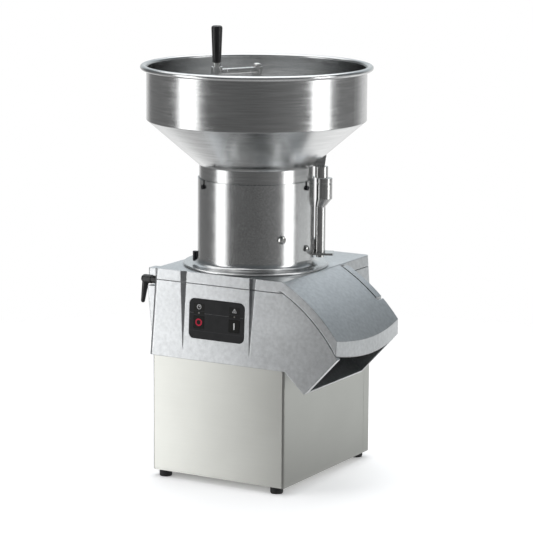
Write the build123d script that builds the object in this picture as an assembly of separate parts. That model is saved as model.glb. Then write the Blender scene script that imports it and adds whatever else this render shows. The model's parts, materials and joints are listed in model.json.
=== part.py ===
from build123d import *
from math import cos, radians, sin, sqrt
import os

# Vegetable-cutting machine with a bulk hopper, in millimetres.
# It is modelled about the cutting disc's axis: X to the right, Y to the back, Z up, floor at Z 0.
# Each piece is moved as it is written, so that the origin of the files is the centre of the
# bottom of the whole machine's bounding box.

# ---- stand and cabinet ----
FOOT_H = 12
FOOT_R = 11.5
FOOT_INSET_X = 20
FOOT_INSET_Y = 12
CAB_HALF_W = 134.5
CAB_FRONT = -132
CAB_REAR = 188
CAB_TOP = 234
CAB_CORNER_R = 4
SHEET = 1.5
BASE_SHEET = 3
COVER_WRAP = 24          # how far the rear cover wraps round the sides
COVER_SEAM = 0.4

# ---- cast body and lid ----
BODY_BOTTOM = 223
SEAM_Z = 358
SEAM_GAP = 1.1
LID_BOTTOM = SEAM_Z + SEAM_GAP
LID_TOP = 378.3
TOP_HALF_W = 131.3
TOP_FRONT = -131.3
TOP_REAR = 187
DRAFT = 0.05             # how far each wall leans out for each millimetre down
CORNER_R = 9
WALL = 5
SPACE_X = 125            # half width of the hollow inside the casting
SPACE_FRONT = -123
SPACE_REAR = 181
DECK = 6

# ---- chute on the right ----
ARC_X = -17.4            # centre of the chute's curved top, in the XZ plane
ARC_Z = 90.6
ARC_R = 323.1
SEAM_ARC_R = ARC_R - 16.7
CHUTE_START_X = 100
CHUTE_TIP = (178.6, 187.6)
CHUTE_END_X = 241.2
DUCT_FRONT = -127
DUCT_REAR = 66
CHUTE_REAR = DUCT_REAR + WALL
LID_CHUTE_REAR = 93
NOTCH_X = 208.5          # the lid's rear notch ends here
NOTCH_GAP = 3.8
LIP_R = 809              # plan radius of the lip
LIP_X = 247
LIP_Y = -21

# ---- cutting chamber and its drive ----
CHAMBER_R = 110
CHAMBER_FLOOR = 306
DISC_R = 101
DISC_Z = 346
DISC_T = 3
EJECTOR_Z = 312
SHAFT_R = 10
RUN_FIT = 0.05           # radial clearance of a shaft in its bore
BEARING_R = 23.5
BEARING_W = 14
HOUSING_R = 31
SEAL_R = 17.5
PULLEY_Z = 206
PULLEY_W = 22
DRIVEN_R = 62
DRIVER_R = 15
BELT_T = 3
BELT_GAP = 0.4
MOTOR_Y = 118
MOTOR_R = 58
MOTOR_Z = 36
BRIDGE_Z = 186
MOTOR_SHAFT_R = 7

# ---- control panel on the front ----
PANEL_W = 112
PANEL_H = 71
PANEL_Z = 297.7
PANEL_R = 10
PANEL_T = 1.5
PANEL_PROUD = 0.6
KEY_X = 36
KEY_DROP = 6.3           # keys' centres below the panel's centre
KEY_W = 21.5
KEY_H = 22
KEY_GAP = 0.3
LED_RISE = 10.3
LED_R = 1.5

# ---- hinge and lock of the lid ----
HINGE_Y = 196
HINGE_Z = 358
KNUCKLE_R = 7
HINGE_PIN_R = 3
LEVER_Y = -116
LEVER_Z = 354.2
LEVER_HUB_R = 7.8
LEVER_END_X = -167.5

# ---- hopper ----
TUBE_R = 103.9
TUBE_TOP = 534.7
HOPPER_SHEET = 1.5
FLANGE_R = 129.9
FLANGE_T = 4
FLANGE_FILLET = 13
NECK_R = 101.4
NECK_BOTTOM = 494
CONE_BOTTOM = 557.9
CONE_TOP = 638.4
FUNNEL_R = 194.8
RIM_R = 205.8
RIM_TOP = 735.2
RIM_HALF_W = 5.6
RIM_HALF_H = 4.6
PIN_AZIMUTHS = (-122.5, -2, 118)
PIN_R = 2.5
PIN_HEAD_R = 4
SLOT_HALF_W = 3.5
PIN_Z = 523.3

# ---- sensor post beside the hopper ----
POST_AZIMUTH = 25
POST_DIST = 114.6
POST_R = 9.2
SENSOR_DIST = 121.2
SENSOR_R = 14.2
HOLDER_DIST = 116
HOLDER_R = 11.6
POST_Z = (402.3, 483.9, 498.5, 535.2)     # foot, cone, collar and top of the post
HOLDER_Z = (536.2, 556.0)
BRACKET_T = 4
BRACKET_R = 139

# ---- agitator and its crank ----
AGITATOR_R = 8.2
AGITATOR_BOTTOM = 400
CRANK_ANGLE = -100.9
CRANK_LEN = 105.6
ARM_Z = (721, 731)         # underside and top of the arm at the shaft
ARM_BOSS = 0.6           # how far the arm's boss stands out above and below
ARM_SLOPE = 2            # degrees that the arm rises towards the grip
HUB_Z = (727, 739)
GRIP_Z = (746, 810)

# ---- place of the files' origin ----
REAR_END = 216.3         # end of the cable gland, the rearmost point
ORIGIN_X = (LIP_X - RIM_R) / 2
ORIGIN_Y = (REAR_END - RIM_R) / 2


def save(name, shape):
    """Write one piece, moved to the frame of the files."""
    moved = Pos(-ORIGIN_X, -ORIGIN_Y, 0) * shape
    export_step(moved, os.path.join("parts", name + ".step"))


def block(x0, x1, y0, y1, z0, z1):
    return Pos((x0 + x1) / 2, (y0 + y1) / 2, (z0 + z1) / 2) * Box(x1 - x0, y1 - y0, z1 - z0)


def rod(r, z0, z1, x=0, y=0):
    return Pos(x, y, (z0 + z1) / 2) * Cylinder(r, z1 - z0)


def ring(r_out, r_in, z0, z1, x=0, y=0):
    return rod(r_out, z0, z1, x, y) - rod(r_in, z0 - 1, z1 + 1, x, y)


def rod_x(r, x0, x1, y, z):
    return Pos((x0 + x1) / 2, y, z) * Rot(0, 90, 0) * Cylinder(r, x1 - x0)


def rod_y(r, y0, y1, x, z):
    return Pos(x, (y0 + y1) / 2, z) * Rot(90, 0, 0) * Cylinder(r, y1 - y0)


def at_azimuth(degrees, shape):
    """Turn a shape made along +X to an azimuth about the disc's axis."""
    return Rot(0, 0, degrees) * shape


def on_azimuth(degrees, dist):
    return dist * cos(radians(degrees)), dist * sin(radians(degrees))


def prism_xz(edges, y0, y1):
    """Extrude a closed outline, drawn as (x, z), from y0 to y1."""
    face = Plane.XZ.offset(-y1) * make_face(edges)
    return extrude(face, amount=y1 - y0, dir=(0, -1, 0))


def prism_yz(points, x0, x1):
    """Extrude a closed polygon, given as (y, z), from x0 to x1."""
    face = Plane.YZ.offset(x0) * make_face(Polyline(*points, close=True))
    return extrude(face, amount=x1 - x0, dir=(1, 0, 0))


def turned(points):
    """Solid of revolution about Z from a closed polygon of (radius, z)."""
    face = Plane.XZ * make_face(Polyline(*points, close=True))
    return revolve(face, Axis.Z)


def rounded_block(x0, x1, y0, y1, z0, z1, radius):
    plan = Pos((x0 + x1) / 2, (y0 + y1) / 2, z0) * RectangleRounded(x1 - x0, y1 - y0, radius)
    return extrude(plan, amount=z1 - z0)


# ---- shared shapes of the casting and the lid ----
def flare(z):
    return DRAFT * (LID_TOP - z)


def front_y(z):
    return TOP_FRONT - flare(z)


def tapered_block(z0, z1):
    """The cast outline between two heights, with its leaning walls."""
    sections = []
    for z in (z0, z1):
        width = 2 * (TOP_HALF_W + flare(z))
        depth = TOP_REAR - TOP_FRONT + 2 * flare(z)
        centre_y = (TOP_REAR + TOP_FRONT) / 2
        sections.append(Pos(0, centre_y, z) * RectangleRounded(width, depth, CORNER_R))
    return loft(sections)


def behind_front():
    """Everything behind the leaning front plane, to trim the chute."""
    z0, z1, y1 = 150, 420, 300
    return prism_yz([(front_y(z0), z0), (front_y(z1), z1), (y1, z1), (y1, z0)], 0, 300)


def arc_z(x, radius):
    return ARC_Z + sqrt(radius ** 2 - (x - ARC_X) ** 2)


def arc_x(z, radius):
    return ARC_X + sqrt(radius ** 2 - (z - ARC_Z) ** 2)


def arc_edge(radius, x0, x1):
    xm = (x0 + x1) / 2
    return ThreePointArc((x0, arc_z(x0, radius)), (xm, arc_z(xm, radius)), (x1, arc_z(x1, radius)))


def under_arc(radius, x0, x1, z0, y0, y1):
    """Block whose top follows an arc about the chute's centre."""
    edges = [
        Line((x0, z0), (x0, arc_z(x0, radius))),
        arc_edge(radius, x0, x1),
        Line((x1, arc_z(x1, radius)), (x1, z0)),
        Line((x1, z0), (x0, z0)),
    ]
    return prism_xz(edges, y0, y1)


def flutes():
    """Two tapering grooves down the front, each with its steeper wall on the inner side."""
    z0, z1 = 241, LID_TOP + 1
    cutters = []
    for side in (-1, 1):
        sections = []
        for z, x, width, depth in ((z0, 68, 1.0, 0.3), (z1, 70.5, 13, 5)):
            y = front_y(z)
            half = side * width / 2
            pts = [(-half, y - 1), (half, y - 1), (half, y), (-0.7 * half, y + depth), (-half, y)]
            sections.append(Pos(side * x, 0, z) * make_face(Polyline(*pts, close=True)))
        cutters.append(loft(sections, ruled=True))
    return cutters


def panel_plane():
    """Plane of the leaning front face at the panel's centre: local x is +X, local y is up."""
    return Plane(origin=(0, front_y(PANEL_Z), PANEL_Z), x_dir=(1, 0, 0), z_dir=(0, -1, DRAFT))


def panel_block(x, y, w, h, z0, z1, radius=0.5):
    """Rounded plate in the panel's own plane, from depth z0 to z1 (outwards is positive)."""
    return panel_plane() * Pos(x, y, z0) * extrude(RectangleRounded(w, h, radius), amount=z1 - z0, dir=(0, 0, 1))


# ---- cabinet ----
def cabinet_wrap():
    outer = rounded_block(-CAB_HALF_W, CAB_HALF_W, CAB_FRONT, CAB_REAR, FOOT_H + BASE_SHEET, CAB_TOP, CAB_CORNER_R)
    inner = rounded_block(-CAB_HALF_W + SHEET, CAB_HALF_W - SHEET, CAB_FRONT + SHEET, CAB_REAR - SHEET,
                          FOOT_H, CAB_TOP + 1, CAB_CORNER_R - SHEET)
    return outer - inner


def cabinet_shell():
    return cabinet_wrap() & block(-200, 200, -200, CAB_REAR - COVER_WRAP, 0, 300)


GLAND_PLACE = (92, 52)
EARTH_PLACE = (-92, 44)


def rear_cover():
    cover = cabinet_wrap() & block(-200, 200, CAB_REAR - COVER_WRAP + COVER_SEAM, 200, 0, 300)
    for i in range(9):
        cover -= rounded_block(-62, 62, 180, 200, 70 + 13 * i, 74.5 + 13 * i, 1)
    cover -= rod_y(9.5, 180, 200, *GLAND_PLACE)
    cover -= rod_y(3, 180, 200, *EARTH_PLACE)
    return cover


def foot_places():
    x = CAB_HALF_W - FOOT_INSET_X
    return [(sx * x, y) for sx in (-1, 1) for y in (CAB_FRONT + FOOT_INSET_Y, CAB_REAR - FOOT_INSET_Y)]


def base_plate():
    plate = rounded_block(-CAB_HALF_W, CAB_HALF_W, CAB_FRONT, CAB_REAR, FOOT_H, FOOT_H + BASE_SHEET, CAB_CORNER_R)
    for i in range(6):
        y = MOTOR_Y - 40 + 16 * i
        plate -= block(-45, 45, y - 3, y + 3, FOOT_H - 1, FOOT_H + BASE_SHEET + 1)
    for x, y in foot_places():
        plate -= rod(2.5, FOOT_H - 1, FOOT_H + BASE_SHEET + 1, x, y)
    return plate


def feet():
    profile = [(2.5, 5), (2.5, FOOT_H), (FOOT_R, FOOT_H), (FOOT_R, 2), (FOOT_R - 1, 0), (5, 0), (5, 5)]
    return [Pos(x, y, 0) * turned(profile) for x, y in foot_places()]


def foot_screws():
    return [rod(4.6, 2, 5, x, y) + rod(2.5, 4.5, 20, x, y) + rod(4.6, 15, 19, x, y) for x, y in foot_places()]


def rear_cover_screws():
    places = [(sx * 118, z) for sx in (-1, 1) for z in (40, 125, 210)]
    return [button_head_y(x, CAB_REAR, z) for x, z in places]


def button_head_y(x, y, z):
    """Round screw head standing on a face that looks to +Y, with a hex socket."""
    head = turned([(0, 0), (4.5, 0), (4.5, 1), (3.2, 2.4), (0, 2.6)]) - rod_hex(1.6, 1.2, 4)
    return Pos(x, y, z) * Rot(-90, 0, 0) * head


def rod_hex(r, z0, z1):
    return Pos(0, 0, z0) * extrude(RegularPolygon(r, 6), amount=z1 - z0)


# ---- cast body ----
def ramp_z(x):
    """Top of the chute's floor, parallel to the skin under it."""
    foot_x = TOP_HALF_W + flare(BODY_BOTTOM)
    slope = (CHUTE_TIP[1] - BODY_BOTTOM) / (CHUTE_TIP[0] - foot_x)
    return CHUTE_TIP[1] + WALL * sqrt(1 + slope ** 2) + slope * (x - CHUTE_TIP[0])


def chute_solid():
    foot_x = TOP_HALF_W + flare(BODY_BOTTOM)
    seam_x = arc_x(SEAM_Z, SEAM_ARC_R)
    end = (CHUTE_END_X, arc_z(CHUTE_END_X, SEAM_ARC_R))
    edges = [
        Polyline((CHUTE_START_X, SEAM_Z), (CHUTE_START_X, BODY_BOTTOM), (foot_x, BODY_BOTTOM), CHUTE_TIP, end),
        arc_edge(SEAM_ARC_R, seam_x, CHUTE_END_X),
        Line((seam_x, SEAM_Z), (CHUTE_START_X, SEAM_Z)),
    ]
    return prism_xz(edges, -150, CHUTE_REAR) & behind_front()


def duct_hollow():
    """Space that the cut food falls through, from the chamber out of the chute."""
    wall_x = 118
    throat_y = sqrt(CHAMBER_R ** 2 - DUCT_REAR ** 2)
    plan = [(0, -CHAMBER_R), (wall_x - 8, DUCT_FRONT), (wall_x + 12, DUCT_FRONT), (wall_x + 12, DUCT_REAR),
            (throat_y, DUCT_REAR), (0, 0)]
    throat = extrude(Pos(0, 0, CHAMBER_FLOOR) * make_face(Polyline(*plan, close=True)), amount=80, dir=(0, 0, 1))
    fall = [(wall_x, 400), (wall_x, ramp_z(wall_x)), (230, ramp_z(230)), (300, 400)]
    return throat + prism_xz(Polyline(*fall, close=True), DUCT_FRONT, DUCT_REAR)


def raised_cheek():
    """Rear cheek of the chute, which fills the lid's notch."""
    band = under_arc(ARC_R, 124, NOTCH_X - NOTCH_GAP, 150, CHUTE_REAR - 1, LID_CHUTE_REAR)
    band -= under_arc(ARC_R - 48, 0, 250, 100, CHUTE_REAR - 2, LID_CHUTE_REAR + 1)
    above = block(0, 300, 0, CHUTE_REAR + NOTCH_GAP, SEAM_Z, 400)
    above += block(0, TOP_HALF_W + flare(SEAM_Z) + 0.6 + NOTCH_GAP, 0, LID_CHUTE_REAR + 1, SEAM_Z, 400)
    above += under_arc(ARC_R + 5, 100, 260, 150, 0, CHUTE_REAR + NOTCH_GAP) - under_arc(
        SEAM_ARC_R, 90, 270, 140, -1, CHUTE_REAR + NOTCH_GAP + 1)
    return band - above


def knuckles(x0, x1, bore_r, web_z0, web_z1):
    """Hinge knuckles on both sides, each with its web to the casting."""
    out = []
    for side in (-1, 1):
        a, b = sorted((side * x0, side * x1))
        knuckle = rod_x(KNUCKLE_R, a, b, HINGE_Y, HINGE_Z)
        knuckle += block(a, b, TOP_REAR - 2, HINGE_Y, web_z0, web_z1)
        out.append(knuckle - rod_x(bore_r, a - 1, b + 1, HINGE_Y, HINGE_Z))
    return out


def lever_boss():
    """Tapered boss below the lock lever, on the left wall."""
    wall = -TOP_HALF_W - flare(345)
    foot = -TOP_HALF_W - flare(250)
    pts = [(-SPACE_X - 2, 345), (wall - 14, 345), (wall - 14, 338), (foot, 250), (-SPACE_X - 2, 250)]
    return prism_xz(Polyline(*pts, close=True), LEVER_Y - 12, LEVER_Y + 12)


def chamber_casting():
    body = tapered_block(BODY_BOTTOM, SEAM_Z) + chute_solid() + lever_boss()
    body += knuckles(60, 84, HINGE_PIN_R, 344, SEAM_Z)
    space = block(-SPACE_X, SPACE_X, SPACE_FRONT, SPACE_REAR, CAB_TOP - 1, SEAM_Z - DECK)
    space -= rod(CHAMBER_R + WALL, CHAMBER_FLOOR - DECK, SEAM_Z)
    space -= block(0, 130, -140, CHUTE_REAR, CHAMBER_FLOOR - DECK, SEAM_Z)
    space -= block(113, 130, -140, CHUTE_REAR, 200, SEAM_Z)
    body -= space
    fit = 0.4
    body -= rounded_block(-CAB_HALF_W - fit, CAB_HALF_W + fit, CAB_FRONT - fit, CAB_REAR + fit,
                          BODY_BOTTOM - 1, CAB_TOP, CAB_CORNER_R)
    body += raised_cheek()
    body += rod(HOUSING_R, 238, CHAMBER_FLOOR - DECK)
    body -= rod(CHAMBER_R, CHAMBER_FLOOR, SEAM_Z + 5)
    body -= duct_hollow()
    body -= rod(BEARING_R, 230, CHAMBER_FLOOR - 8) + rod(SEAL_R, CHAMBER_FLOOR - 10, CHAMBER_FLOOR + 1)
    body -= flutes()
    body -= panel_block(0, 0, PANEL_W, PANEL_H, PANEL_PROUD - PANEL_T, 5, PANEL_R)
    body -= panel_block(0, 0, 102, 56, -30, 5, 4)
    body -= rod_x(HINGE_PIN_R + 0.06, -150, -SPACE_X - 1, LEVER_Y, LEVER_Z)
    return body


def bearing(z):
    return ring(BEARING_R, SHAFT_R + RUN_FIT, z, z + BEARING_W)


def shaft_seal():
    return ring(SEAL_R, SHAFT_R + RUN_FIT, CHAMBER_FLOOR - DECK, CHAMBER_FLOOR)


# ---- control panel ----
def control_panel():
    plate = panel_block(0, 0, PANEL_W, PANEL_H, PANEL_PROUD - PANEL_T, PANEL_PROUD, PANEL_R)
    for side in (-1, 1):
        plate -= panel_block(side * KEY_X, -KEY_DROP, KEY_W + 2 * KEY_GAP, KEY_H + 2 * KEY_GAP, -5, 5, 1)
        plate -= panel_plane() * Pos(side * KEY_X, LED_RISE, 0) * Cylinder(LED_R, 10)
    return plate


def key(x):
    back = PANEL_PROUD - PANEL_T - 0.1
    cap = panel_block(x, -KEY_DROP, KEY_W, KEY_H, back - 1, PANEL_PROUD + 0.4, 1)
    cap += panel_block(x, -KEY_DROP, KEY_W + 3, KEY_H + 3, back - 1.2, back, 1)
    return cap + panel_plane() * Pos(x, -KEY_DROP, back - 1 - 4) * Cylinder(4, 8)


def led_lenses():
    z0, z1 = -4, PANEL_PROUD + 0.3
    return [panel_plane() * Pos(side * KEY_X, LED_RISE, (z0 + z1) / 2) * Cylinder(LED_R, z1 - z0)
            for side in (-1, 1)]


def control_board():
    board = block(-52, 52, -120.6, -119, 250, 299)
    for side in (-1, 1):
        board += block(side * KEY_X - 4, side * KEY_X + 4, -123.4, -120,
                       PANEL_Z - KEY_DROP - 4, PANEL_Z - KEY_DROP + 4)
    board += block(-15, 15, -119.5, -111, 256, 280)
    return board


# ---- drive ----
def motor_bridge():
    x = CAB_HALF_W - SHEET
    plate = block(-x, x, MOTOR_Y - 68, MOTOR_Y + 62, BRIDGE_Z, BRIDGE_Z + 4)
    for side in (-1, 1):
        a, b = sorted((side * x, side * (x - 2)))
        plate += block(a, b, MOTOR_Y - 68, CAB_REAR - COVER_WRAP, BRIDGE_Z - 30, BRIDGE_Z)
    plate -= rod(20, BRIDGE_Z - 1, BRIDGE_Z + 5, 0, MOTOR_Y)
    return plate


def motor_housing():
    body = rod(MOTOR_R, MOTOR_Z, BRIDGE_Z, 0, MOTOR_Y)
    body -= rod(MOTOR_R - 8, MOTOR_Z + 8, BRIDGE_Z - 8, 0, MOTOR_Y)
    body -= rod(MOTOR_SHAFT_R + RUN_FIT, MOTOR_Z - 1, BRIDGE_Z + 1, 0, MOTOR_Y)
    for i in range(9):
        z = MOTOR_Z + 20 + 13 * i
        body -= ring(MOTOR_R + 1, MOTOR_R - 3, z, z + 7, 0, MOTOR_Y)
    return body


def motor_rotor():
    shaft = rod(MOTOR_SHAFT_R, MOTOR_Z + 2, PULLEY_Z + PULLEY_W + 2, 0, MOTOR_Y)
    return shaft + rod(44, 80, 160, 0, MOTOR_Y)


def motor_fan():
    fan = ring(16, MOTOR_SHAFT_R, 52, 70, 0, MOTOR_Y)
    for i in range(8):
        blade = Rot(0, 0, 45 * i) * block(14, 42, -1, 1, 52, 68)
        fan += Pos(0, MOTOR_Y, 0) * blade
    return fan


def pulley(radius, bore, x, y):
    """Ribbed belt pulley with a hub and a thin web."""
    z0, z1 = PULLEY_Z, PULLEY_Z + PULLEY_W
    body = ring(radius, bore, z0, z1, x, y)
    if radius > 40:
        for a, b in ((z0 - 1, z0 + 7), (z1 - 7, z1 + 1)):
            body -= ring(radius - 7, bore + 9, a, b, x, y)
    for i in range(5):
        z = z0 + 4.5 + 3.2 * i
        body -= ring(radius + 1, radius - 1.5, z, z + 1.4, x, y)
    return body


def drive_belt():
    z0 = PULLEY_Z + 3
    height = PULLEY_W - 6
    loops = []
    for extra in (BELT_GAP, BELT_GAP + BELT_T):
        circles = [Circle(DRIVEN_R + extra), Pos(0, MOTOR_Y) * Circle(DRIVER_R + extra)]
        hull = make_hull([c.edge() for c in circles])
        loops.append(extrude(Pos(0, 0, z0) * hull, amount=height, dir=(0, 0, 1)))
    return loops[1] - loops[0]


def capacitor():
    return rod(20, FOOT_H + BASE_SHEET, 110, -96, -70) + rod(5, 110, 118, -96, -70)


def power_module():
    case = block(20, 110, -110, -50, FOOT_H + BASE_SHEET, 70)
    for i in range(8):
        case -= block(24 + 11 * i, 30 + 11 * i, -111, -49, 52, 71)
    return case


def cable_gland():
    x, z = GLAND_PLACE
    body = rod_y(9.5, CAB_REAR - SHEET - 8, CAB_REAR, x, z) + rod_y(14, CAB_REAR, CAB_REAR + 6, x, z)
    nose = Pos(x, CAB_REAR + 6, z) * Rot(-90, 0, 0) * turned(
        [(0, 0), (12.5, 0), (12.5, 14), (8, REAR_END - CAB_REAR - 6), (0, REAR_END - CAB_REAR - 6)])
    nut = Pos(x, CAB_REAR - SHEET - 5, z) * Rot(-90, 0, 0) * extrude(RegularPolygon(13, 6), amount=5)
    return body + nose + nut - rod_y(4, 150, 230, x, z)


def earth_stud():
    x, z = EARTH_PLACE
    stud = rod_y(3, CAB_REAR - 10, CAB_REAR + 14, x, z)
    nut = Pos(x, CAB_REAR, z) * Rot(-90, 0, 0) * extrude(RegularPolygon(5.8, 6), amount=5)
    return stud + nut


def drive_shaft():
    return rod(SHAFT_R, PULLEY_Z - 2, 345) + rod(SHAFT_R - 2, 345, 372)


def ejector_disc():
    disc = ring(20, SHAFT_R, CHAMBER_FLOOR + 1, 332) + ring(100, SHAFT_R, EJECTOR_Z, EJECTOR_Z + 3)
    for i in range(6):
        disc += Rot(0, 0, 60 * i) * block(18, 97, -1.5, 1.5, EJECTOR_Z + 2, EJECTOR_Z + 17)
    return disc


def disc_hub():
    return ring(18, SHAFT_R, 332, DISC_Z)


def slicing_disc():
    disc = ring(DISC_R, SHAFT_R - 2, DISC_Z, DISC_Z + DISC_T)
    for side in (0, 180):
        disc -= Rot(0, 0, side) * block(24, 95, -6, 5, DISC_Z - 1, DISC_Z + DISC_T + 1)
    return disc


def slicing_blades():
    top = DISC_Z + DISC_T
    profile = [(16, top), (16, top + 1.6), (8, top + 1.6), (-5, top + 5), (-5, top + 4.5), (8, top)]
    blade = prism_yz(profile, 22, 97)
    return [blade, Rot(0, 0, 180) * blade]


def disc_knob():
    z = DISC_Z + DISC_T
    knob = turned([(SHAFT_R - 2, z), (17, z), (17, z + 6), (13, z + 20), (9, z + 25), (0, z + 26), (0, 372),
                   (SHAFT_R - 2, 372)])
    for i in range(6):
        knob -= Rot(0, 0, 60 * i) * rod(4, z + 2, z + 30, 18)
    return knob


# ---- lid ----
def lid_chute_solid():
    """Deflector over the chute: a band between two arcs, ended by the curved lip."""
    band = under_arc(ARC_R, CHUTE_START_X, 262, 150, -150, LID_CHUTE_REAR)
    band -= under_arc(SEAM_ARC_R + SEAM_GAP, CHUTE_START_X - 5, 270, 140, -151, LID_CHUTE_REAR + 1)
    band -= block(0, arc_x(LID_TOP, ARC_R), -200, 200, LID_TOP, 420)
    band &= behind_front()
    return band & rod(LIP_R, 100, 400, LIP_X - LIP_R, LIP_Y)


def lid_inside():
    """Hollow under the lid's skin."""
    inside = block(-TOP_HALF_W + WALL, TOP_HALF_W - WALL, TOP_FRONT + 9, TOP_REAR - WALL,
                   SEAM_Z - 5, LID_TOP - WALL)
    chute = under_arc(ARC_R - WALL, CHUTE_START_X, 255, 150, DUCT_FRONT, LID_CHUTE_REAR - WALL)
    chute &= rod(LIP_R - WALL, 100, 400, LIP_X - LIP_R, LIP_Y)
    chute -= block(0, 300, -200, 200, LID_TOP - WALL, 420)
    notch_wall = block(TOP_HALF_W - WALL, NOTCH_X + WALL, CHUTE_REAR + NOTCH_GAP - 0.5 - WALL, 100, 100, 400)
    return inside + (chute - notch_wall)


def lid_casting():
    lid = tapered_block(LID_BOTTOM, LID_TOP) + lid_chute_solid()
    lid -= block(TOP_HALF_W + flare(SEAM_Z) + 0.6, NOTCH_X, CHUTE_REAR, LID_CHUTE_REAR + 5, 100, 400)
    lid -= lid_inside()
    lug = rounded_block(-TOP_HALF_W - 15, -TOP_HALF_W + 4, LEVER_Y - 12, LEVER_Y + 12, 364.5, LID_TOP - 1.5, 4)
    lid += lug
    lid += ring(107.4, TUBE_R - HOPPER_SHEET, 352, LID_TOP - WALL + 0.5)
    lid -= rod(TUBE_R - HOPPER_SHEET, 340, LID_TOP + 5)
    lid += knuckles(38, 59.7, HINGE_PIN_R + 0.06, LID_BOTTOM, 373)
    lid -= flutes()
    return lid


def lid_gasket():
    return ring(109.5, 107.4, 352.5, 357)


def hinge_pins():
    return [rod_x(HINGE_PIN_R, *sorted((side * 36, side * 86)), HINGE_Y, HINGE_Z) for side in (-1, 1)]


def lever_handle():
    """Black clamping lever: hub across the side wall and an arm that hangs down."""
    face = -TOP_HALF_W - flare(LEVER_Z) - 0.4
    elbow_x = LEVER_END_X + LEVER_HUB_R
    hub = rod_x(LEVER_HUB_R - 1, elbow_x + 10, face, LEVER_Y, LEVER_Z)
    hub += rod_x(LEVER_HUB_R, elbow_x, elbow_x + 14, LEVER_Y, LEVER_Z)
    hub += Pos(elbow_x, LEVER_Y, LEVER_Z) * Sphere(LEVER_HUB_R)
    arm = Pos(0, 0, -20) * Cone(3.7, 6.4, 40) + Pos(0, 0, -40) * Sphere(3.7)
    arm = Pos(elbow_x + 1, LEVER_Y, LEVER_Z - 1) * Rot(0, 9, 0) * arm
    return hub + arm - rod_x(HINGE_PIN_R, LEVER_END_X + 15, -100, LEVER_Y, LEVER_Z)


def lever_stud():
    return rod_x(HINGE_PIN_R, LEVER_END_X + 15, -SPACE_X - 2, LEVER_Y, LEVER_Z)


# ---- feed tube on the lid ----
def hopper_tube():
    inner = TUBE_R - HOPPER_SHEET
    z0 = LID_TOP
    z1 = z0 + FLANGE_T
    edges = [
        Polyline((TUBE_R, z1 + FLANGE_FILLET), (TUBE_R, TUBE_TOP), (inner, TUBE_TOP), (inner, z0),
                 (FLANGE_R - 1.5, z0), (FLANGE_R, z0 + 1.5), (FLANGE_R, z1 - 1.5), (FLANGE_R - 1.5, z1),
                 (TUBE_R + FLANGE_FILLET, z1)),
        RadiusArc((TUBE_R + FLANGE_FILLET, z1), (TUBE_R, z1 + FLANGE_FILLET), FLANGE_FILLET),
    ]
    tube = revolve(Plane.XZ * make_face(edges), Axis.Z)
    for azimuth in PIN_AZIMUTHS:
        slot = block(95, 110, -SLOT_HALF_W, SLOT_HALF_W, PIN_Z, TUBE_TOP + 1)
        slot += rod_x(SLOT_HALF_W, 90, 110, 0, PIN_Z)
        tube -= at_azimuth(azimuth, slot)
    return tube


def radial_screw(azimuth, dist, z, head_r, head_h, socket):
    """Screw head standing on a round wall, pointing away from the axis."""
    head = turned([(0, -0.5), (head_r, -0.5), (head_r, 0.8), (head_r * 0.8, head_h * 0.75), (head_r * 0.45, head_h),
                   (0, head_h)])
    if socket:
        head -= rod_hex(head_r * 0.4, head_h - 2, head_h + 1)
    return at_azimuth(azimuth, Pos(dist, 0, z) * Rot(0, 90, 0) * head)


def tube_screws():
    # a head's rim sits against the tube, so its centre stands off by the wall's curve
    stand_off = 0.75
    domes = [radial_screw(azimuth, TUBE_R + stand_off, 437, 7.5, 5, False) for azimuth in (-34, 86)]
    return domes + [radial_screw(-2, TUBE_R + stand_off, 416, 6, 4.5, True)]


def side_stud():
    """Short black stud that stands in the cove at the left of the tube's foot."""
    x, y = on_azimuth(-152, TUBE_R + 4.6)
    return rod(4.4, LID_TOP + FLANGE_T, 400, x, y) - hopper_tube()


def post_bracket():
    z0, z1 = POST_Z[0] - BRACKET_T, POST_Z[0]
    plate = ring(BRACKET_R, TUBE_R, z0, z1) & at_azimuth(POST_AZIMUTH, block(60, 140, -15, 15, z0, z1))
    leg = ring(TUBE_R + 1.4, TUBE_R, z0, z0 + 28) & at_azimuth(POST_AZIMUTH, block(60, 140, -13, 13, z0, z0 + 28))
    return plate + leg


def bracket_screw():
    x, y = on_azimuth(POST_AZIMUTH, POST_DIST)
    z = POST_Z[0] - BRACKET_T
    return rod(7, z - 5, z, x, y)


def sensor_post():
    foot, cone, collar, _ = POST_Z
    post_xy = on_azimuth(POST_AZIMUTH, POST_DIST)
    collar_xy = on_azimuth(POST_AZIMUTH, SENSOR_DIST)
    lower = Pos(*post_xy, cone) * Circle(POST_R)
    upper = Pos(*collar_xy, collar) * Circle(SENSOR_R)
    return rod(POST_R, foot, cone, *post_xy) + loft([lower, upper])


def sensor_housing():
    x, y = on_azimuth(POST_AZIMUTH, SENSOR_DIST)
    collar, top = POST_Z[2:]
    body = rod(SENSOR_R, collar, top, x, y)
    return body - ring(SENSOR_R + 1, SENSOR_R - 1.4, top - 10, top - 8.4, x, y)


# ---- funnel ----
def funnel_neck():
    inner = NECK_R - HOPPER_SHEET
    weld_z = CONE_BOTTOM + HOPPER_SHEET * 0.6
    return turned([(NECK_R, NECK_BOTTOM), (NECK_R, CONE_BOTTOM), (inner, weld_z), (inner, NECK_BOTTOM)])


def funnel_cone():
    t = HOPPER_SHEET
    return turned([(NECK_R, CONE_BOTTOM), (FUNNEL_R, CONE_TOP), (FUNNEL_R - t, CONE_TOP + t * 0.6),
                   (NECK_R - t, CONE_BOTTOM + t * 0.6)])


def funnel_wall():
    inner = FUNNEL_R - HOPPER_SHEET
    weld_z = CONE_TOP + HOPPER_SHEET * 0.6
    return turned([(FUNNEL_R, CONE_TOP), (FUNNEL_R, RIM_TOP - RIM_HALF_H), (inner, RIM_TOP - RIM_HALF_H),
                   (inner, weld_z)])


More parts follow.
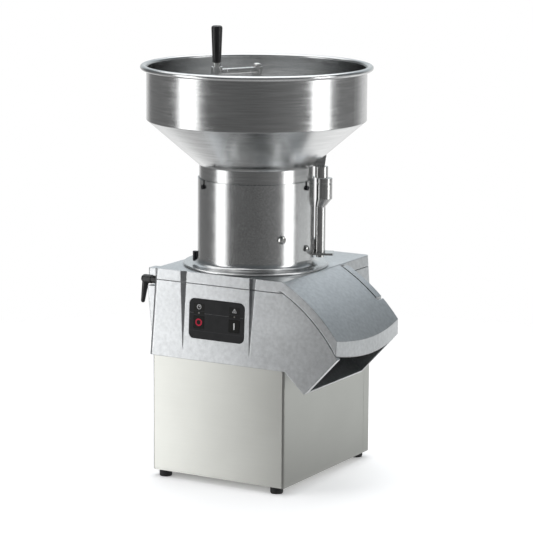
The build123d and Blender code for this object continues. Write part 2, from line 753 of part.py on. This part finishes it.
def funnel_rim():
    """Rolled edge, oval in section, that stands out from the wall."""
    section = Plane.XZ * Pos(RIM_R - RIM_HALF_W, RIM_TOP - RIM_HALF_H) * Ellipse(RIM_HALF_W, RIM_HALF_H)
    rim = revolve(section, Axis.Z)
    return rim - ring(FUNNEL_R, FUNNEL_R - HOPPER_SHEET, CONE_TOP, RIM_TOP - RIM_HALF_H)


def locating_pins():
    pin = rod_x(PIN_R, NECK_R, TUBE_R + 1, 0, PIN_Z) + rod_x(PIN_HEAD_R, TUBE_R + 1, TUBE_R + 3.5, 0, PIN_Z)
    return [at_azimuth(azimuth, pin) for azimuth in PIN_AZIMUTHS]


def holder_gusset():
    z0 = HOLDER_Z[1]
    slope = (CONE_TOP - CONE_BOTTOM) / (FUNNEL_R - NECK_R)
    tip = 124.8
    pts = [(NECK_R, z0), (tip - 3.3, z0), (tip, CONE_BOTTOM + slope * (tip - NECK_R)), (NECK_R, CONE_BOTTOM)]
    return at_azimuth(POST_AZIMUTH, prism_xz(Polyline(*pts, close=True), -1.5, 1.5))


def magnet_holder():
    x, y = on_azimuth(POST_AZIMUTH, HOLDER_DIST)
    return rod(HOLDER_R, *HOLDER_Z, x, y)


def agitator_spider():
    hub = ring(16, 12, NECK_BOTTOM + 2, NECK_BOTTOM + 40)
    reach = NECK_R - HOPPER_SHEET
    for i in range(3):
        arm = block(14, reach + 0.5, -4, 4, NECK_BOTTOM + 6, NECK_BOTTOM + 18)
        hub += at_azimuth(PIN_AZIMUTHS[0] + 120 * i, arm) & rod(reach, 480, 560)
    return hub


def agitator_bush():
    return ring(12, AGITATOR_R + RUN_FIT, NECK_BOTTOM, NECK_BOTTOM + 40) + ring(
        18, AGITATOR_R + RUN_FIT, NECK_BOTTOM + 40, NECK_BOTTOM + 43)


# ---- agitator and crank ----
def agitator_shaft():
    shoulder = ARM_Z[0] - ARM_BOSS
    return rod(AGITATOR_R, AGITATOR_BOTTOM, shoulder) + rod(5, shoulder - 1, ARM_Z[1] + ARM_BOSS)


def wiper_bar():
    """Bar across the feed tube's foot, which sweeps food over the disc."""
    z = AGITATOR_BOTTOM
    bar = block(-92, 92, -5, 5, z, z + 9) + ring(15, AGITATOR_R, z, z + 26)
    return bar - rod(AGITATOR_R, z - 1, z + 30)


def agitator_wings():
    """Two sloping wings over the spider, which stir the food in the cone."""
    z = NECK_BOTTOM + 46
    hub = ring(15, AGITATOR_R, z, z + 60)
    for side in (0, 180):
        wing = prism_xz(Polyline((13, z + 22), (78, z + 50), (110, z + 92), (106, z + 95), (74, z + 56), (13, z + 34),
                                 close=True), -3, 3)
        hub += Rot(0, 0, side) * wing
    return hub


def crank_arm():
    z0, z1 = ARM_Z
    half = (z1 - z0) / 2
    bar = block(0, CRANK_LEN, -6.5, 6.5, -half, half)
    bar = fillet(bar.edges().filter_by(Axis.X), 2.5)
    arm = Pos(0, 0, z0 + half) * Rot(0, -ARM_SLOPE, 0) * bar
    arm += rod(9.4, z0 - ARM_BOSS, z1 + ARM_BOSS) + rod(9.8, *HUB_Z, CRANK_LEN)
    arm -= rod(5, z0 - 2, z1 + 2) + rod(3, z0, HUB_Z[1] + 2, CRANK_LEN)
    return at_azimuth(CRANK_ANGLE, arm)


def cap_nut():
    z = ARM_Z[1] + ARM_BOSS
    return turned([(0, z), (7.8, z), (7.8, z + 2), (6.2, z + 4.6), (3, z + 6), (0, z + 6.4)])


def grip_pin():
    x, y = on_azimuth(CRANK_ANGLE, CRANK_LEN)
    return rod(3, HUB_Z[0], GRIP_Z[1] - 12, x, y) + rod(6.6, HUB_Z[1], GRIP_Z[0] - 0.4, x, y)


def crank_grip():
    x, y = on_azimuth(CRANK_ANGLE, CRANK_LEN)
    z0, z1 = GRIP_Z
    bore = 3 + RUN_FIT
    profile = [(bore, z0), (6.8, z0), (7.5, z0 + 1), (9.7, z1 - 4), (8.8, z1 - 1.2), (6.5, z1), (0, z1),
               (0, z1 - 11.8), (bore, z1 - 11.8)]
    return Pos(x, y, 0) * turned(profile)


PARTS = {
    "base_plate": base_plate,
    "cabinet_shell": cabinet_shell,
    "rear_cover": rear_cover,
    "feet": feet,
    "foot_screws": foot_screws,
    "rear_cover_screws": rear_cover_screws,
    "chamber_casting": chamber_casting,
    "control_panel": control_panel,
    "control_board": control_board,
    "led_lenses": led_lenses,
    "motor_bridge": motor_bridge,
    "motor_housing": motor_housing,
    "capacitor": capacitor,
    "power_module": power_module,
    "cable_gland": cable_gland,
    "earth_stud": earth_stud,
    "bearing_upper": lambda: bearing(CHAMBER_FLOOR - 8 - BEARING_W),
    "bearing_lower": lambda: bearing(240),
    "shaft_seal": shaft_seal,
    "drive_belt": drive_belt,
    "hinge_pins": hinge_pins,
    "stop_key": lambda: key(-KEY_X),
    "start_key": lambda: key(KEY_X),
    "lever_handle": lever_handle,
    "lever_stud": lever_stud,
    "motor_rotor": motor_rotor,
    "motor_fan": motor_fan,
    "drive_pulley": lambda: pulley(DRIVER_R, MOTOR_SHAFT_R, 0, MOTOR_Y),
    "drive_shaft": drive_shaft,
    "driven_pulley": lambda: pulley(DRIVEN_R, SHAFT_R, 0, 0),
    "ejector_disc": ejector_disc,
    "disc_hub": disc_hub,
    "slicing_disc": slicing_disc,
    "slicing_blades": slicing_blades,
    "disc_knob": disc_knob,
    "lid_casting": lid_casting,
    "lid_gasket": lid_gasket,
    "hopper_tube": hopper_tube,
    "tube_screws": tube_screws,
    "side_stud": side_stud,
    "post_bracket": post_bracket,
    "bracket_screw": bracket_screw,
    "sensor_post": sensor_post,
    "sensor_housing": sensor_housing,
    "funnel_neck": funnel_neck,
    "funnel_cone": funnel_cone,
    "funnel_wall": funnel_wall,
    "funnel_rim": funnel_rim,
    "locating_pins": locating_pins,
    "holder_gusset": holder_gusset,
    "magnet_holder": magnet_holder,
    "agitator_spider": agitator_spider,
    "agitator_bush": agitator_bush,
    "agitator_shaft": agitator_shaft,
    "agitator_wings": agitator_wings,
    "wiper_bar": wiper_bar,
    "crank_arm": crank_arm,
    "cap_nut": cap_nut,
    "grip_pin": grip_pin,
    "crank_grip": crank_grip,
}

os.makedirs("parts", exist_ok=True)
for part_name, make in PARTS.items():
    made = make()
    save(part_name, Compound(children=made) if isinstance(made, list) else made)
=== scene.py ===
"""Looks of the vegetable cutting machine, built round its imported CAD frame. Metres, +Z up, floor at 0."""

import json
import math

import bmesh
import bpy
from mathutils import Matrix, Vector

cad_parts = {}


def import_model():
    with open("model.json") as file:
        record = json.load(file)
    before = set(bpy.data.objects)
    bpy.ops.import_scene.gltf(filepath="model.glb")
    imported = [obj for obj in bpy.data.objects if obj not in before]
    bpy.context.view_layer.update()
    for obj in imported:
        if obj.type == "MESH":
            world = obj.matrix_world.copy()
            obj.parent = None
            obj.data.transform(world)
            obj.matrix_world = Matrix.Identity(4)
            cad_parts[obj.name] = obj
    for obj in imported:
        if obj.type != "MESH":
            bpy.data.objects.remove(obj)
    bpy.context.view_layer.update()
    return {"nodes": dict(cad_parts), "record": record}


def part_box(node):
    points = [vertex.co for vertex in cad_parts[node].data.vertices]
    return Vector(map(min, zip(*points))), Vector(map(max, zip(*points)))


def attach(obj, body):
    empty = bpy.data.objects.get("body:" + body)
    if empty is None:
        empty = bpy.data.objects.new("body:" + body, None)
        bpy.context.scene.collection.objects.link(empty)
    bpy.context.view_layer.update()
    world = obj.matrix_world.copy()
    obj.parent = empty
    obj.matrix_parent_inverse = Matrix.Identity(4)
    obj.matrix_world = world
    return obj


MM = 0.001

# Camera of the studio view.
CAMERA_PLACE = (2.2230, -3.86655, 1.1930)
CAMERA_YAW = math.radians(29.914)
CAMERA_PITCH = math.radians(10.403)
CAMERA_ROLL = math.radians(0.356)
LENS = 171.6
SENSOR = 36.0

CLIP = (0.05, 200)

# Prints on the panel, in millimetres from the centre of its face.
PANEL_LEAN = math.atan(0.05)
KEY_X = 36.0
KEY_DROP = 6.3
SYMBOL_RISE = 21.0
SYMBOL_WINDOW = (21.7, 12.9)
SIGN_R = 4.6
SIGN_STROKE = 0.8
LAMP_RISE = 10.3
LAMP_WINDOW = (9.1, 5.6)
LAMP_WINDOW_X = 6.3
LINE_W = 0.35
UPPER_LINES = ((0, 49), (-51, 7), (51, 7))      # middle and length of each
LOWER_LINE_Y = -21.5
LOWER_LINE = 109
STOP_RING = (4.3, 6.7)
START_BAR = (2.5, 11.5)
FILM_LIFT = 0.02                                # a print stands this far off the face below it
SIGN_LIFT = 0.14
KEY_LIFT = 0.42

# Floor, in metres.
FLOOR_R = 1.5
FLOOR_FADE = (0.6, 0.97)                        # shares of FLOOR_R between which it fades out
FLOOR_GLOW = 0.42
UNDER = ((-0.155, 0.114), (-0.137, 0.183))      # the cabinet's shaded patch of floor, in X and Y
UNDER_SOFT = (-0.05, 0.02)                      # the patch's edge, from its dark side to its bright side

# Tone of the surroundings by direction, in degrees anticlockwise from +X.
AROUND = ((-180, 0.20), (-150, 0.18), (-100, 0.15), (-60, 0.14), (-20, 0.22), (40, 0.22),
          (65, 0.26), (85, 0.85), (120, 1.0), (140, 0.90), (154, 0.24), (180, 0.20))
# Factor on that tone by the sine of the direction's elevation.
UPWARDS = ((-1, 1.0, 1.0, 1.0), (-0.1, 1.0, 1.0, 1.0), (0.15, 0.74, 0.79, 0.81), (0.5, 0.72, 0.79, 0.84),
           (1, 0.55, 0.58, 0.62))
# Tone added for steep downward directions, as from a pale floor, by the sine of the elevation.
DOWNWARDS = ((-1, 0.36), (-0.5, 0.30), (-0.27, 0.0), (1, 0.0))

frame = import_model()
nodes = frame["nodes"]


# ---------------------------------------------------------------- node helpers
class Nodes:
    """Small wrapper that keeps material code short."""

    def __init__(self, name):
        self.mat = bpy.data.materials.new(name)
        self.mat.use_nodes = True
        self.tree = self.mat.node_tree
        self.shader = self.tree.nodes["Principled BSDF"]

    def add(self, kind, **settings):
        node = self.tree.nodes.new(kind)
        for key, value in settings.items():
            if key in node.inputs:
                node.inputs[key].default_value = value
            else:
                setattr(node, key, value)
        return node

    def link(self, a, b):
        self.tree.links.new(a, b)

    def set(self, **values):
        for key, value in values.items():
            self.shader.inputs[key.replace("_", " ")].default_value = value

    def coords(self, scale):
        """Object coordinates, stretched by a scale for each axis."""
        place = self.add("ShaderNodeTexCoord")
        mapping = self.add("ShaderNodeMapping", Scale=scale)
        self.link(place.outputs["Object"], mapping.inputs["Vector"])
        return mapping.outputs["Vector"]

    def noise(self, vector, scale, detail=3.0, rough=0.55):
        node = self.add("ShaderNodeTexNoise", Scale=scale, Detail=detail, Roughness=rough)
        self.link(vector, node.inputs["Vector"])
        return node.outputs["Fac"]

    def spread(self, value, low, high, from_low=0.3, from_high=0.7):
        """Maps a noise value onto low..high."""
        node = self.add("ShaderNodeMapRange")
        node.inputs["From Min"].default_value = from_low
        node.inputs["From Max"].default_value = from_high
        node.inputs["To Min"].default_value = low
        node.inputs["To Max"].default_value = high
        self.link(value, node.inputs["Value"])
        return node.outputs["Result"]

    def tint(self, value, dark, light):
        """Colour between two tones, by a value from 0 to 1."""
        node = self.add("ShaderNodeMix", data_type="RGBA")
        colour = [s for s in node.inputs if s.name in ("A", "B") and s.type == "RGBA"]
        colour[0].default_value = (*dark, 1)
        colour[1].default_value = (*light, 1)
        self.link(value, node.inputs["Factor"])
        return [s for s in node.outputs if s.type == "RGBA"][0]

    def bump(self, height, strength, distance, normal):
        node = self.add("ShaderNodeBump", Strength=strength, Distance=distance)
        self.link(height, node.inputs["Height"])
        self.link(normal, node.inputs["Normal"])
        return node.outputs["Normal"]


def scaled(colour, k):
    return tuple(min(1.0, c * k) for c in colour)


def metal(name, colour, rough, grain=(1, 1, 1), grain_scale=900, grain_depth=0.02, patch=0.06, spread=0.08,
          edge=0.0006, turned=0.0, streak=0.3):
    """Bare metal: fine stretched grain, broad patches of tone, and softened edges.

    grain stretches the grain (a low number along an axis makes lines run along it).
    turned is the anisotropy of a surface that was turned or rolled about Z.
    streak is the share of the tone's change that comes from the grain.
    """
    m = Nodes(name)
    m.set(Metallic=1.0)
    fine = m.noise(m.coords(grain), grain_scale, 2.0)
    broad = m.noise(m.coords((1, 1, 1)), 9.0, 4.0)
    cloud = m.noise(m.coords((1, 1, 1)), 60.0, 3.0)
    tone = m.add("ShaderNodeMath", operation="ADD")
    m.link(m.spread(broad, 0, 1 - streak), tone.inputs[0])
    m.link(m.spread(fine, 0, streak), tone.inputs[1])
    base = m.tint(tone.outputs[0], scaled(colour, 1 - patch), scaled(colour, 1 + patch))
    m.link(base, m.shader.inputs["Base Color"])
    mixed = m.add("ShaderNodeMath", operation="ADD")
    m.link(m.spread(fine, 0, spread), mixed.inputs[0])
    m.link(m.spread(cloud, rough - spread / 2, rough + spread / 2), mixed.inputs[1])
    m.link(mixed.outputs[0], m.shader.inputs["Roughness"])
    soft = m.add("ShaderNodeBevel", samples=6, Radius=edge)
    m.link(m.bump(fine, grain_depth, 0.0002, soft.outputs["Normal"]), m.shader.inputs["Normal"])
    if turned:
        m.shader.inputs["Anisotropic"].default_value = turned
        tangent = m.add("ShaderNodeTangent", direction_type="RADIAL", axis="Z")
        m.link(tangent.outputs["Tangent"], m.shader.inputs["Tangent"])
    return m.mat


def cast(name, colour, rough):
    """Cast aluminium, blasted and lightly brushed: mottled tone, fine pits and a broad unevenness."""
    m = Nodes(name)
    m.set(Metallic=1.0)
    plain = m.coords((1, 1, 1))
    pits = m.noise(plain, 1500.0, 2.0, 0.6)
    mottle = m.noise(plain, 150.0, 3.0, 0.55)
    broad = m.noise(plain, 7.0, 3.0)
    brushed = m.noise(m.coords((0.06, 1, 1)), 700.0, 2.0)
    tone = m.add("ShaderNodeMath", operation="ADD")
    m.link(m.spread(mottle, 0, 0.5), tone.inputs[0])
    m.link(m.spread(broad, 0, 0.5), tone.inputs[1])
    base = m.tint(tone.outputs[0], scaled(colour, 0.76), scaled(colour, 1.12))
    m.link(base, m.shader.inputs["Base Color"])
    m.link(m.spread(broad, rough - 0.03, rough + 0.03), m.shader.inputs["Roughness"])
    soft = m.add("ShaderNodeBevel", samples=6, Radius=0.0018)
    first = m.bump(brushed, 0.05, 0.0002, soft.outputs["Normal"])
    second = m.bump(mottle, 0.05, 0.0008, first)
    m.link(m.bump(pits, 0.08, 0.0002, second), m.shader.inputs["Normal"])
    return m.mat


def plastic(name, colour, rough, grain=1800, depth=0.12, edge=0.0005, shine=0.5):
    """Moulded plastic or rubber with a fine spark texture and slight wear in its sheen."""
    m = Nodes(name)
    m.set(Specular_IOR_Level=shine)
    plain = m.coords((1, 1, 1))
    spark = m.noise(plain, grain, 2.0)
    wear = m.noise(plain, 45.0, 4.0)
    base = m.tint(m.spread(wear, 0, 1), scaled(colour, 0.85), scaled(colour, 1.2))
    m.link(base, m.shader.inputs["Base Color"])
    m.link(m.spread(wear, rough - 0.06, rough + 0.08), m.shader.inputs["Roughness"])
    soft = m.add("ShaderNodeBevel", samples=6, Radius=edge)
    m.link(m.bump(spark, depth, 0.0002, soft.outputs["Normal"]), m.shader.inputs["Normal"])
    return m.mat


def print_ink(name, colour, rough=0.5):
    """Screen-printed ink, with its slight unevenness."""
    m = Nodes(name)
    m.set(Specular_IOR_Level=0.2)
    dots = m.noise(m.coords((1, 1, 1)), 900.0, 2.0)
    base = m.tint(m.spread(dots, 0, 1), scaled(colour, 0.9), scaled(colour, 1.05))
    m.link(base, m.shader.inputs["Base Color"])
    m.link(m.spread(dots, rough - 0.05, rough + 0.05), m.shader.inputs["Roughness"])
    return m.mat


MATS = {
    "cabinet_steel": metal("cabinet_steel", (0.54, 0.545, 0.515), 0.30, grain=(0.04, 0.04, 1),
                           grain_scale=450, grain_depth=0.012, patch=0.03, spread=0.015, edge=0.001),
    "cast_alloy": cast("cast_alloy", (0.60, 0.615, 0.625), 0.34),
    "hopper_steel": metal("hopper_steel", (0.57, 0.575, 0.575), 0.18, grain=(0.05, 0.05, 1), grain_scale=330,
                          grain_depth=0.015, patch=0.09, spread=0.05, edge=0.0008, turned=0.4, streak=0.8),
    "tube_steel": metal("tube_steel", (0.575, 0.58, 0.58), 0.19, grain_scale=560, grain_depth=0.015,
                        patch=0.17, spread=0.05, edge=0.0008, turned=0.4, streak=0.85),
    "machined_steel": metal("machined_steel", (0.58, 0.58, 0.575), 0.20, grain=(1, 1, 0.05), grain_depth=0.03,
                            patch=0.03, spread=0.06),
    "fastener_steel": metal("fastener_steel", (0.50, 0.50, 0.49), 0.16, grain_scale=1200, patch=0.05,
                            spread=0.05, edge=0.0003),
    "black_steel": metal("black_steel", (0.045, 0.045, 0.05), 0.34, grain_scale=1200, grain_depth=0.05,
                         patch=0.1, edge=0.0003),
    "blade_steel": metal("blade_steel", (0.66, 0.66, 0.66), 0.14, grain=(0.05, 1, 1)),
    "disc_alloy": metal("disc_alloy", (0.70, 0.70, 0.70), 0.26, grain_depth=0.03, patch=0.04, turned=0.5),
    "black_plastic": plastic("black_plastic", (0.011, 0.011, 0.012), 0.36),
    "panel_film": plastic("panel_film", (0.026, 0.026, 0.027), 0.45, grain=2500, depth=0.05, shine=0.12),
    "red_key": plastic("red_key", (0.008, 0.008, 0.007), 0.40, grain=2500, depth=0.05, shine=0.15),
    "black_key": plastic("black_key", (0.008, 0.008, 0.007), 0.40, grain=2500, depth=0.05, shine=0.15),
    "led_lens": plastic("led_lens", (0.20, 0.19, 0.17), 0.12, grain=2500, depth=0.02),
    "foot_rubber": plastic("foot_rubber", (0.014, 0.014, 0.014), 0.62, grain=900, depth=0.3),
    "gasket_rubber": plastic("gasket_rubber", (0.03, 0.03, 0.032), 0.6),
    "belt_rubber": plastic("belt_rubber", (0.015, 0.015, 0.015), 0.7, grain=900, depth=0.3),
    "pulley_iron": metal("pulley_iron", (0.25, 0.25, 0.26), 0.42, grain_depth=0.08),
    "motor_paint": plastic("motor_paint", (0.03, 0.032, 0.035), 0.45, grain=500, depth=0.3),
    "copper_iron": metal("copper_iron", (0.40, 0.36, 0.33), 0.45, grain=(1, 1, 8), grain_scale=400,
                         grain_depth=0.2),
    "board_green": plastic("board_green", (0.02, 0.10, 0.04), 0.3),
    "bush_white": plastic("bush_white", (0.72, 0.72, 0.70), 0.42),
    "light_plastic": plastic("light_plastic", (0.35, 0.35, 0.34), 0.4),
}
INK_WHITE = print_ink("ink_white", (0.72, 0.72, 0.71))
INK_GREY = print_ink("ink_grey", (0.17, 0.17, 0.175))
INK_RED = print_ink("ink_red", (0.52, 0.012, 0.045))
WINDOW = print_ink("window_black", (0.0075, 0.0075, 0.0065), 0.4)
INK_GREY_LIGHT = print_ink("ink_grey_light", (0.62, 0.62, 0.62))
INK_DIM = print_ink("ink_dim", (0.06, 0.06, 0.062))

node_slots = {row["node"]: row["material_slot"] for row in frame["record"]["subparts"]}
for name, obj in nodes.items():
    obj.data.materials.clear()
    obj.data.materials.append(MATS[node_slots[name]])


# ---------------------------------------------------------------- pieces on the control panel
def panel_place():
    """Centre, right, up and outward directions of the panel's outer face."""
    low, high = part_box("control_panel")
    height = high.z - low.z
    centre = Vector(((low.x + high.x) / 2, low.y + height / 2 * math.tan(PANEL_LEAN), (low.z + high.z) / 2))
    up = Vector((0, math.sin(PANEL_LEAN), math.cos(PANEL_LEAN)))
    out = Vector((0, -math.cos(PANEL_LEAN), math.sin(PANEL_LEAN)))
    return centre, Vector((1, 0, 0)), up, out


PANEL = panel_place()


def prism(name, outlines, height, lift, body, material):
    """Thin raised print: closed outlines in the panel's own millimetres, extruded outwards."""
    centre, right, up, out = PANEL
    bm = bmesh.new()
    for outline in outlines:
        low = [bm.verts.new(centre + right * x * MM + up * y * MM + out * lift * MM) for x, y in outline]
        high = [bm.verts.new(v.co + out * height * MM) for v in low]
        n = len(low)
        bm.faces.new(high)
        bm.faces.new(low[::-1])
        for i in range(n):
            bm.faces.new((low[i], low[(i + 1) % n], high[(i + 1) % n], high[i]))
    bmesh.ops.recalc_face_normals(bm, faces=bm.faces)
    mesh = bpy.data.meshes.new(name)
    bm.to_mesh(mesh)
    bm.free()
    obj = bpy.data.objects.new(name, mesh)
    bpy.context.scene.collection.objects.link(obj)
    mesh.materials.append(material)
    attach(obj, body)


def rect(x, y, w, h):
    return [(x - w / 2, y - h / 2), (x + w / 2, y - h / 2), (x + w / 2, y + h / 2), (x - w / 2, y + h / 2)]


def arcs(x, y, r0, r1, steps=40):
    """A ring as a row of short four-sided outlines."""
    out = []
    for i in range(steps):
        a, b = (2 * math.pi * k / steps for k in (i, i + 1))
        corners = ((r0, a), (r1, a), (r1, b), (r0, b))
        out.append([(x + r * math.cos(t), y + r * math.sin(t)) for r, t in corners])
    return out


def stroke(x0, y0, x1, y1, w):
    """Bar of width w between two points."""
    d = Vector((x1 - x0, y1 - y0)).normalized() * w / 2
    side = Vector((-d.y, d.x))
    return [(x0 - side.x, y0 - side.y), (x1 - side.x, y1 - side.y),
            (x1 + side.x, y1 + side.y), (x0 + side.x, y0 + side.y)]


def panel_prints():
    """Windows, symbols and lines printed on the film, and the marks on the two keys."""
    for side, word in ((-1, "left"), (1, "right")):
        x = side * KEY_X
        prism(f"symbol_window_{word}", [rect(x, SYMBOL_RISE, *SYMBOL_WINDOW)],
              0.12, FILM_LIFT, "base", WINDOW)
        lamps = [rect(x + lamp * LAMP_WINDOW_X, LAMP_RISE, *LAMP_WINDOW) for lamp in (-1, 1)]
        prism(f"lamp_window_{word}", lamps, 0.12, FILM_LIFT, "base", WINDOW)
        prism(f"lamp_ring_{word}", arcs(x, LAMP_RISE, 1.55, 2.2, 24),
              0.2, FILM_LIFT, "base", WINDOW)
    dial = arcs(-KEY_X, SYMBOL_RISE, 3.3, 4.3)
    dial += [stroke(-KEY_X, SYMBOL_RISE, -KEY_X, SYMBOL_RISE + 2.4, SIGN_STROKE)]
    dial += [stroke(-KEY_X - 0.2, SYMBOL_RISE - 0.2, -KEY_X + 1.6, SYMBOL_RISE + 0.9, SIGN_STROKE)]
    prism("symbol_dial", dial, 0.08, SIGN_LIFT, "base", INK_GREY_LIGHT)
    corner = [(KEY_X + SIGN_R * math.cos(a), SYMBOL_RISE - 0.8 + SIGN_R * math.sin(a))
              for a in (math.radians(90), math.radians(210), math.radians(330))]
    sign = [stroke(*corner[i], *corner[(i + 1) % 3], SIGN_STROKE) for i in range(3)]
    sign += [stroke(KEY_X, SYMBOL_RISE - 1.2, KEY_X, SYMBOL_RISE + 1.4, 0.9)]
    sign += [rect(KEY_X, SYMBOL_RISE - 2.2, 0.9, 0.8)]
    prism("symbol_triangle", sign, 0.08, SIGN_LIFT, "base", INK_GREY_LIGHT)
    upper = [rect(x, LAMP_RISE - 0.4, length, LINE_W) for x, length in UPPER_LINES]
    prism("panel_line_upper", upper, 0.06, FILM_LIFT, "base", INK_GREY)
    lower = [rect(0, LOWER_LINE_Y, LOWER_LINE, LINE_W)]
    prism("panel_line_lower", lower, 0.06, FILM_LIFT, "base", INK_DIM)
    stop = arcs(-KEY_X, -KEY_DROP, *STOP_RING)
    prism("stop_ring", stop, 0.1, KEY_LIFT, "stop_button", INK_RED)
    start = [rect(KEY_X, -KEY_DROP, *START_BAR)]
    prism("start_bar", start, 0.1, KEY_LIFT, "start_button", INK_WHITE)


panel_prints()


# ---------------------------------------------------------------- studio
def studio_floor():
    """Round white sheet; it fades out at its edge, beyond which the backdrop is as white.

    It glows a little, as a lit sheet does, except for a soft patch under the cabinet that stays shaded.
    Reflections don't show it.
    """
    bm = bmesh.new()
    bmesh.ops.create_circle(bm, cap_ends=True, segments=96, radius=FLOOR_R)
    mesh = bpy.data.meshes.new("floor")
    bm.to_mesh(mesh)
    bm.free()
    floor = bpy.data.objects.new("floor", mesh)
    bpy.context.scene.collection.objects.link(floor)
    floor.visible_glossy = False
    m = Nodes("floor")
    m.set(Metallic=0.0, Roughness=0.9, Emission_Color=(1, 1, 1, 1))
    plain = m.coords((1, 1, 1))
    split = m.add("ShaderNodeSeparateXYZ")
    m.link(plain, split.inputs[0])
    outside = m.add("ShaderNodeMath", operation="MAXIMUM")
    for axis, (low, high) in enumerate(UNDER):
        middle = (low + high) / 2
        shifted = m.add("ShaderNodeMath", operation="SUBTRACT")
        m.link(split.outputs[axis], shifted.inputs[0])
        shifted.inputs[1].default_value = middle
        away = m.add("ShaderNodeMath", operation="ABSOLUTE")
        m.link(shifted.outputs[0], away.inputs[0])
        half = (high - low) / 2
        glow = m.spread(away.outputs[0], 0, FLOOR_GLOW, half + UNDER_SOFT[0], half + UNDER_SOFT[1])
        m.link(glow, outside.inputs[axis])
    m.link(outside.outputs[0], m.shader.inputs["Emission Strength"])
    grain = m.noise(plain, 40.0)
    base = m.tint(m.spread(grain, 0, 1), (0.92, 0.92, 0.925), (0.94, 0.94, 0.945))
    m.link(base, m.shader.inputs["Base Color"])
    length = m.add("ShaderNodeVectorMath", operation="LENGTH")
    m.link(plain, length.inputs[0])
    fade = m.spread(length.outputs["Value"], 1, 0, FLOOR_R * FLOOR_FADE[0], FLOOR_R * FLOOR_FADE[1])
    m.link(fade, m.shader.inputs["Alpha"])
    mesh.materials.append(m.mat)


def area(name, place, target, width, height, radiance, colour=(1, 1, 1)):
    """Softbox of that brightness, in the same units as the surroundings."""
    data = bpy.data.lights.new(name, "AREA")
    data.shape = "RECTANGLE"
    data.size = width
    data.size_y = height
    data.energy = radiance * math.pi * width * height
    data.color = colour
    obj = bpy.data.objects.new(name, data)
    obj.location = place
    obj.rotation_euler = (Vector(target) - Vector(place)).to_track_quat("-Z", "Y").to_euler()
    bpy.context.scene.collection.objects.link(obj)


def studio_lights():
    """Two upright softboxes for the bright bands, a weak low fill on the right, and a large one overhead."""
    area("softbox_left", (-1.085, -1.217, 0.40), (0, 0, 0.40), 0.70, 2.4, 2.3)
    area("fill_right", (0.96, 1.15, 0.0), (0, 0, 0.0), 1.3, 0.65, 0.5, (0.97, 1.0, 1.0))
    area("softbox_right", (1.56, 0.17, 0.80), (0, 0, 0.80), 0.58, 1.6, 2.9)
    area("softbox_top", (-0.4, 0.3, 2.6), (0, 0, 0.3), 3.4, 3.4, 1.6)


def world():
    """Studio round the object: bright behind it, dim elsewhere and overhead; the camera sees plain white."""
    w = bpy.data.worlds.new("studio")
    bpy.context.scene.world = w
    w.use_nodes = True
    tree = w.node_tree
    back = tree.nodes["Background"]

    def node(kind, operation=None):
        made = tree.nodes.new(kind)
        if operation:
            made.operation = operation
        return made

    def ramp(value, low, high, tones):
        turn = node("ShaderNodeMapRange")
        turn.inputs["From Min"].default_value = low
        turn.inputs["From Max"].default_value = high
        tree.links.new(value, turn.inputs["Value"])
        made = node("ShaderNodeValToRGB")
        tree.links.new(turn.outputs["Result"], made.inputs["Fac"])
        elements = made.color_ramp.elements
        while len(elements) < len(tones):
            elements.new(0.5)
        for element, (place, *tone) in zip(elements, tones):
            element.position = (place - low) / (high - low)
            element.color = (*(tone if len(tone) == 3 else tone * 3), 1)
        return made.outputs["Color"]

    place = node("ShaderNodeTexCoord")
    split = node("ShaderNodeSeparateXYZ")
    tree.links.new(place.outputs["Generated"], split.inputs[0])
    angle = node("ShaderNodeMath", "ARCTAN2")
    tree.links.new(split.outputs["Y"], angle.inputs[0])
    tree.links.new(split.outputs["X"], angle.inputs[1])
    degrees = node("ShaderNodeMath", "DEGREES")
    tree.links.new(angle.outputs[0], degrees.inputs[0])
    round_about = ramp(degrees.outputs[0], -180, 180, AROUND)
    upwards = ramp(split.outputs["Z"], -1, 1, UPWARDS)
    both = node("ShaderNodeVectorMath", "MULTIPLY")
    tree.links.new(round_about, both.inputs[0])
    tree.links.new(upwards, both.inputs[1])
    total = node("ShaderNodeVectorMath", "ADD")
    tree.links.new(both.outputs[0], total.inputs[0])
    tree.links.new(ramp(split.outputs["Z"], -1, 1, DOWNWARDS), total.inputs[1])
    tree.links.new(total.outputs[0], back.inputs["Color"])
    seen = node("ShaderNodeBackground")
    seen.inputs["Color"].default_value = (1, 1, 1, 1)
    path = node("ShaderNodeLightPath")
    mix = node("ShaderNodeMixShader")
    tree.links.new(path.outputs["Is Camera Ray"], mix.inputs[0])
    tree.links.new(back.outputs[0], mix.inputs[1])
    tree.links.new(seen.outputs[0], mix.inputs[2])
    tree.links.new(mix.outputs[0], tree.nodes["World Output"].inputs["Surface"])


def camera():
    data = bpy.data.cameras.new("camera")
    data.lens = LENS
    data.sensor_width = SENSOR
    data.clip_start, data.clip_end = CLIP
    cam = bpy.data.objects.new("camera", data)
    bpy.context.scene.collection.objects.link(cam)
    right = Vector((math.cos(CAMERA_YAW), math.sin(CAMERA_YAW), 0))
    level = math.cos(CAMERA_PITCH)
    ahead = Vector((-math.sin(CAMERA_YAW) * level, math.cos(CAMERA_YAW) * level, -math.sin(CAMERA_PITCH)))
    up = right.cross(ahead)
    c, s = math.cos(CAMERA_ROLL), math.sin(CAMERA_ROLL)
    right, up = c * right + s * up, -s * right + c * up
    turn = Matrix((right, up, -ahead)).transposed()
    cam.matrix_world = Matrix.Translation(CAMERA_PLACE) @ turn.to_4x4()
    bpy.context.scene.camera = cam


studio_floor()
studio_lights()
world()
camera()
bpy.context.scene.view_settings.view_transform = "Standard"
bpy.context.view_layer.update()
